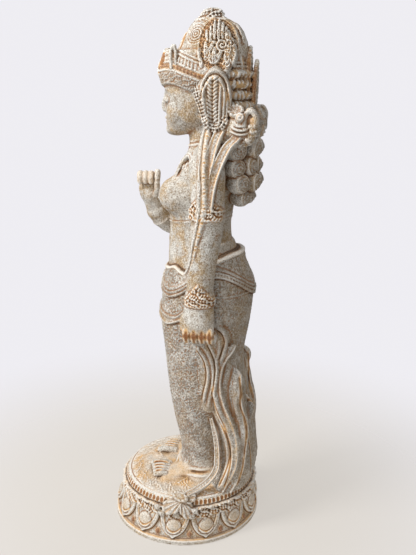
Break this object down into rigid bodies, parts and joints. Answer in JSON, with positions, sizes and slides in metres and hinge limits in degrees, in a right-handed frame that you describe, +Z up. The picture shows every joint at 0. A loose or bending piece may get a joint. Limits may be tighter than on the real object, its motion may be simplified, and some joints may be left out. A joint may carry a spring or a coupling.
{
  "type": "dewi sri figure",
  "caption": "Standing rice goddess in a wrapped skirt and tall crown, with rice stems and leaves at her sides, on a round lotus base, cast in one piece.",
  "frame": {"origin": "centre of the flat underside of the lotus base", "axes": "+Z up, -Y the way the figure faces, +X to the figure's left"},
  "size_m": [0.3012, 0.3007, 1],
  "materials": {
    "cast_stone": "matt cast stone under a worn whitewash, with ochre and brown stain in the carving"
  },
  "bodies": {
    "root": {"rice_goddess_statue": "cast_stone"}
  },
  "joints": []
}
